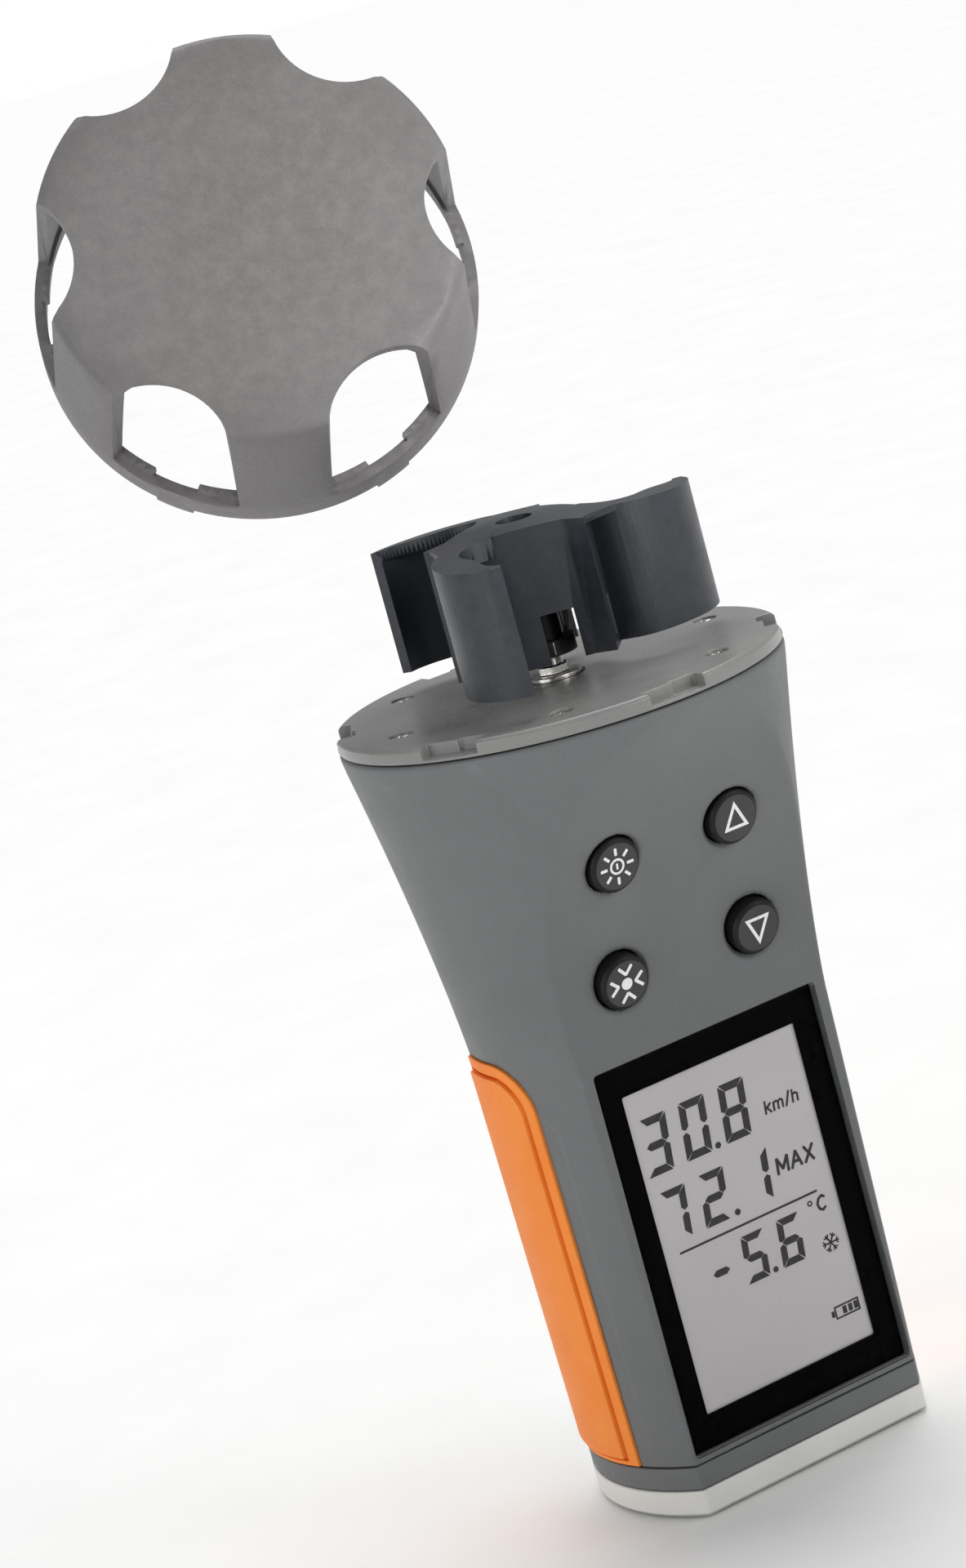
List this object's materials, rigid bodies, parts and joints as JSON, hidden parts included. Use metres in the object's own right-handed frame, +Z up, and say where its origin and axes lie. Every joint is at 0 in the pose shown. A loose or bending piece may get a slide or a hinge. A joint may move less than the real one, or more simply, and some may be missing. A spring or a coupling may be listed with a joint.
{
  "type": "cup anemometer",
  "caption": "Handheld anemometer with a flared body, display and buttons on a flat front, a spinning cup rotor on top and a detached round protective cap.",
  "frame": {"origin": "centre of the body's underside, at the mouth of the tripod socket", "axes": "+Z up the body to the rotor, -Y out of the display side, +X to the viewer's right when facing the display"},
  "size_m": [0.0898, 0.0908, 0.2336],
  "materials": {
    "case_plastic": "fine satin grain, warm grey",
    "deck_plastic": "fine satin grain",
    "gasket_rubber": "matt black",
    "screw_steel": "bright plated steel",
    "axle_steel": "ground steel",
    "clear_window": "clear gloss",
    "frame_black": "black print under the window",
    "lcd_glass": "pale grey liquid crystal display",
    "white_plastic": "satin white",
    "board_green": "solder mask",
    "black_plastic": "satin black",
    "amber_film": "polyimide film",
    "copper_coil": "enamelled copper",
    "brass_part": "turned brass",
    "orange_rubber": "soft satin orange",
    "rotor_plastic": "fine satin grain, blue grey",
    "cap_plastic": "fine leather grain"
  },
  "bodies": {
    "housing": {"main_case": "case_plastic", "head_plate": "deck_plastic", "head_gasket": "gasket_rubber", "head_screws": "screw_steel", "display_lens": "clear_window", "lens_mask": "frame_black", "lcd_panel": "lcd_glass", "lcd_holder": "white_plastic", "zebra_strips": "gasket_rubber", "main_board": "board_green", "board_components": "black_plastic", "flex_ribbon": "amber_film", "keypad_board": "board_green", "keypad_mat": "gasket_rubber", "snap_domes": "axle_steel", "board_screws": "screw_steel", "sensor_coil": "copper_coil", "battery_tray": "black_plastic", "coin_cell": "axle_steel", "battery_contacts": "brass_part", "bottom_collar": "case_plastic", "collar_screws": "screw_steel", "base_cap": "white_plastic", "base_gasket": "gasket_rubber", "tripod_insert": "brass_part", "side_grip_left": "orange_rubber", "side_grip_right": "orange_rubber", "spindle": "axle_steel", "spindle_nut": "screw_steel", "retaining_ring": "screw_steel"},
    "spinner": {"rotor": "rotor_plastic", "hub_sleeve": "black_plastic", "lower_bush": "brass_part", "upper_bush": "brass_part", "rotor_magnets": "axle_steel"},
    "key_power": {"button_power": "black_plastic"},
    "key_up": {"button_up": "black_plastic"},
    "key_down": {"button_down": "black_plastic"},
    "key_mode": {"button_mode": "black_plastic"},
    "cap": {"protective_cap": "cap_plastic"}
  },
  "joints": [
    {"name": "rotor_spin", "type": "hinge", "parent": "housing", "child": "spinner", "pos_m": [0, 0, 0.14], "axis": [0, 0, 1], "continuous": true},
    {"name": "button_power_press", "type": "slide", "parent": "housing", "child": "key_power", "axis": [0, 0.9703, 0.2419], "range_m": [0, 0.0008], "stiffness_N_per_m": 1200},
    {"name": "button_up_press", "type": "slide", "parent": "housing", "child": "key_up", "axis": [0, 0.9703, 0.2419], "range_m": [0, 0.0008], "stiffness_N_per_m": 1200},
    {"name": "button_down_press", "type": "slide", "parent": "housing", "child": "key_down", "axis": [0, 0.9703, 0.2419], "range_m": [0, 0.0008], "stiffness_N_per_m": 1200},
    {"name": "button_mode_press", "type": "slide", "parent": "housing", "child": "key_mode", "axis": [0, 0.9703, 0.2419], "range_m": [0, 0.0008], "stiffness_N_per_m": 1200},
    {"name": "cap_turn", "type": "hinge", "parent": "housing", "child": "cap", "pos_m": [-0.014, 0.0364, 0.1914], "axis": [-0.346, -0.8353, 0.4274], "range_deg": [0, 6]}
  ]
}
